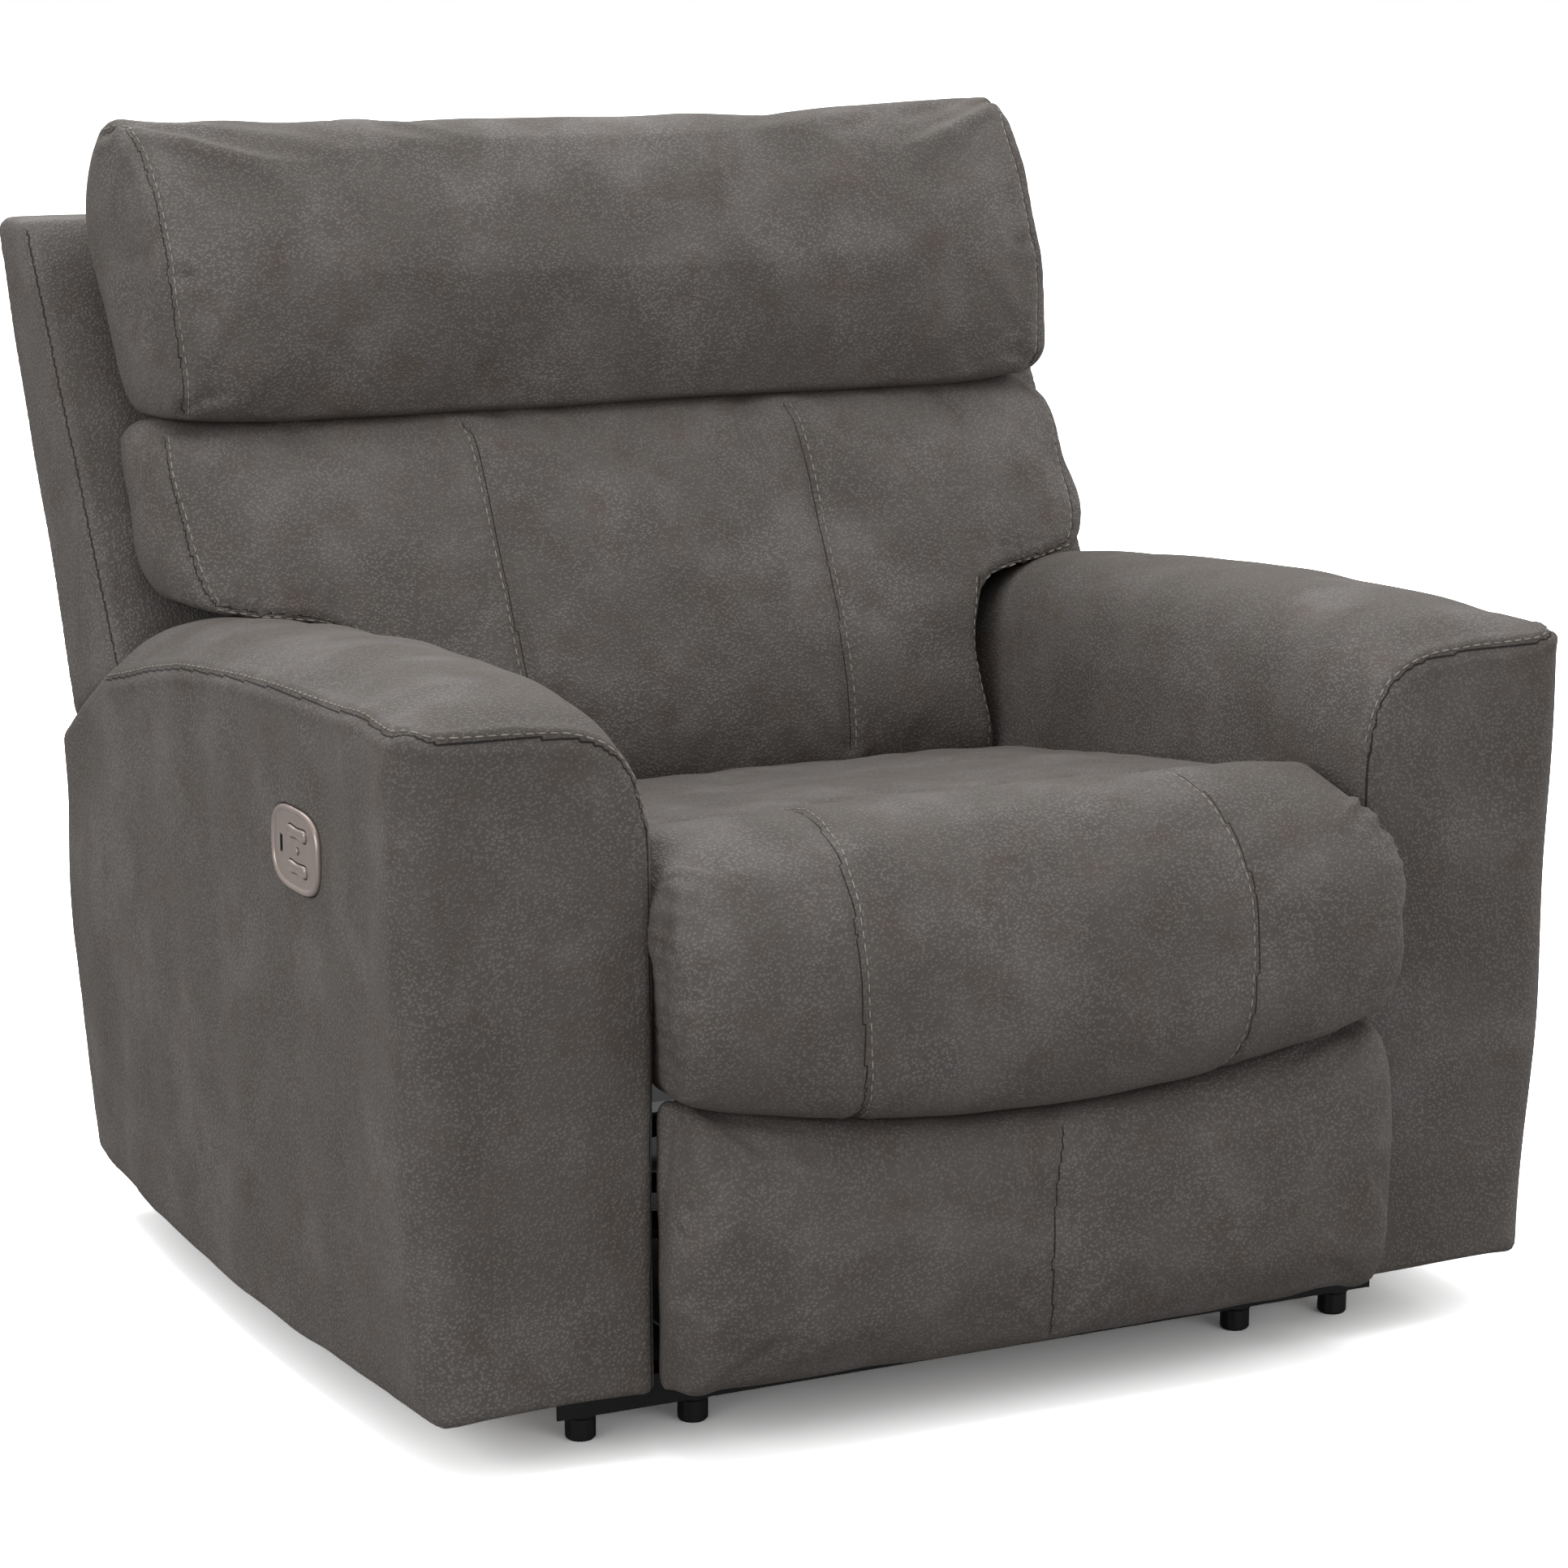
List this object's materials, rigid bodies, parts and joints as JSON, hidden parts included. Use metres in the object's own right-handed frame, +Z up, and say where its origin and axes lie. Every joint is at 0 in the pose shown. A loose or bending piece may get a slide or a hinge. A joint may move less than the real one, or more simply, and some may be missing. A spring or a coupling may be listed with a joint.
{
  "type": "recliner armchair",
  "caption": "Powered recliner armchair with padded arms, a folding leg rest on a steel linkage, a reclining back and a tilting head cushion.",
  "frame": {"origin": "on the floor, in the middle of the chair's outer box at rest", "axes": "+Z up, -Y out of the chair's front, +X to the right as seen from in front"},
  "size_m": [1.0798, 1.1733, 1.041],
  "materials": {
    "upholstery": "matte pebbled suede-like microfibre, taupe grey",
    "wood": "matte plywood and softwood, unfinished",
    "black_steel": "satin black powder coat",
    "link_steel": "satin black electro-coat",
    "spring_wire": "satin drawn wire",
    "black_plastic": "matte moulded nylon",
    "plate_metal": "satin warm silver"
  },
  "bodies": {
    "base": {"front_rail": "black_steel", "rear_rail": "black_steel", "side_rail_right": "black_steel", "side_rail_left": "black_steel", "glide_front_1": "black_plastic", "glide_front_2": "black_plastic", "glide_front_3": "black_plastic", "glide_front_4": "black_plastic", "glide_rear_1": "black_plastic", "glide_rear_2": "black_plastic", "glide_rear_3": "black_plastic", "glide_rear_4": "black_plastic", "arm_cover_right": "upholstery", "arm_cover_left": "upholstery", "arm_panel_right": "wood", "arm_panel_left": "wood", "control_plate": "plate_metal", "control_box": "black_plastic", "usb_socket": "black_plastic", "seat_frame": "wood", "seat_springs": "spring_wire", "seat_cushion": "upholstery", "side_plate_right": "link_steel", "side_plate_left": "link_steel", "cross_tube_front": "link_steel", "cross_tube_rear": "link_steel", "actuator_track": "black_steel", "actuator_motor": "black_plastic"},
    "leg_drive": {"drive_shaft": "link_steel", "drive_link_right": "link_steel", "drive_link_left": "link_steel"},
    "rear_swing_right": {"rear_link_right": "link_steel"},
    "rear_swing_left": {"rear_link_left": "link_steel"},
    "lower_push_right": {"lower_push_link_right": "link_steel"},
    "lower_push_left": {"lower_push_link_left": "link_steel"},
    "upper_push_right": {"upper_push_link_right": "link_steel"},
    "upper_push_left": {"upper_push_link_left": "link_steel"},
    "leg_rest": {"leg_pad": "upholstery", "leg_board": "wood", "board_bracket_right": "link_steel", "board_bracket_left": "link_steel"},
    "slider": {"actuator_slider": "black_plastic"},
    "back": {"back_cover": "upholstery", "back_frame": "wood", "lumbar_cushion": "upholstery", "back_bracket_right": "link_steel", "back_bracket_left": "link_steel", "head_bracket_right": "link_steel", "head_bracket_left": "link_steel"},
    "headrest": {"head_cushion": "upholstery", "head_board": "wood", "head_hinge_right": "link_steel", "head_hinge_left": "link_steel"},
    "recline_key": {"recline_rocker": "plate_metal"},
    "headrest_key": {"headrest_rocker": "plate_metal"},
    "home_key": {"home_button": "plate_metal"}
  },
  "joints": [
    {"name": "leg_drive_swing", "type": "hinge", "parent": "base", "child": "leg_drive", "pos_m": [0, -0.2752, 0.2733], "axis": [-1, 0, 0], "range_deg": [0, 115]},
    {"name": "rear_link_swing_right", "type": "hinge", "parent": "base", "child": "rear_swing_right", "pos_m": [0, -0.2311, 0.2651], "axis": [-1, 0, 0], "range_deg": [-1, 116]},
    {"name": "rear_link_swing_left", "type": "hinge", "parent": "base", "child": "rear_swing_left", "pos_m": [0, -0.2311, 0.2651], "axis": [-1, 0, 0], "range_deg": [-1, 116]},
    {"name": "lower_push_fold_right", "type": "hinge", "parent": "leg_drive", "child": "lower_push_right", "pos_m": [0, -0.147, 0.1336], "axis": [-1, 0, 0], "range_deg": [-124, 1]},
    {"name": "lower_push_fold_left", "type": "hinge", "parent": "leg_drive", "child": "lower_push_left", "pos_m": [0, -0.147, 0.1336], "axis": [-1, 0, 0], "range_deg": [-124, 1]},
    {"name": "upper_push_fold_right", "type": "hinge", "parent": "leg_drive", "child": "upper_push_right", "pos_m": [0, -0.1799, 0.1695], "axis": [-1, 0, 0], "range_deg": [-127, 1]},
    {"name": "upper_push_fold_left", "type": "hinge", "parent": "leg_drive", "child": "upper_push_left", "pos_m": [0, -0.1799, 0.1695], "axis": [-1, 0, 0], "range_deg": [-127, 1]},
    {"name": "leg_rest_turn", "type": "hinge", "parent": "lower_push_left", "child": "leg_rest", "pos_m": [0, -0.4656, 0.2196], "axis": [-1, 0, 0], "range_deg": [-1, 97]},
    {"name": "slider_travel", "type": "slide", "parent": "base", "child": "slider", "axis": [0, -1, 0], "range_m": [-0.001, 0.106]},
    {"name": "back_recline", "type": "hinge", "parent": "base", "child": "back", "pos_m": [0, 0.1854, 0.46], "axis": [-1, 0, 0], "range_deg": [0, 28]},
    {"name": "head_tilt", "type": "hinge", "parent": "back", "child": "headrest", "pos_m": [0, 0.3004, 0.757], "axis": [1, 0, 0], "range_deg": [0, 18]},
    {"name": "recline_rocker_tip", "type": "hinge", "parent": "base", "child": "recline_key", "pos_m": [-0.5285, -0.2486, 0.494], "axis": [0, 0, 1], "range_deg": [-4, 4], "stiffness_Nm_per_rad": 1.5},
    {"name": "headrest_rocker_tip", "type": "hinge", "parent": "base", "child": "headrest_key", "pos_m": [-0.5285, -0.2486, 0.464], "axis": [0, 0, 1], "range_deg": [-4, 4], "stiffness_Nm_per_rad": 1.5},
    {"name": "home_button_press", "type": "slide", "parent": "base", "child": "home_key", "axis": [1, 0, 0], "range_m": [0, 0.0008], "stiffness_N_per_m": 400}
  ],
  "couplings": [
    {"joint": "rear_link_swing_right", "follows": "leg_drive_swing", "ratio": 0.998},
    {"joint": "rear_link_swing_left", "follows": "leg_drive_swing", "ratio": 0.998},
    {"joint": "lower_push_fold_right", "follows": "leg_drive_swing", "ratio": -1.071},
    {"joint": "lower_push_fold_left", "follows": "leg_drive_swing", "ratio": -1.071},
    {"joint": "upper_push_fold_right", "follows": "leg_drive_swing", "ratio": -1.093},
    {"joint": "upper_push_fold_left", "follows": "leg_drive_swing", "ratio": -1.093},
    {"joint": "leg_rest_turn", "follows": "leg_drive_swing", "ratio": 0.836},
    {"joint": "slider_travel", "follows": "leg_drive_swing", "m_per_rad": 0.05227}
  ]
}
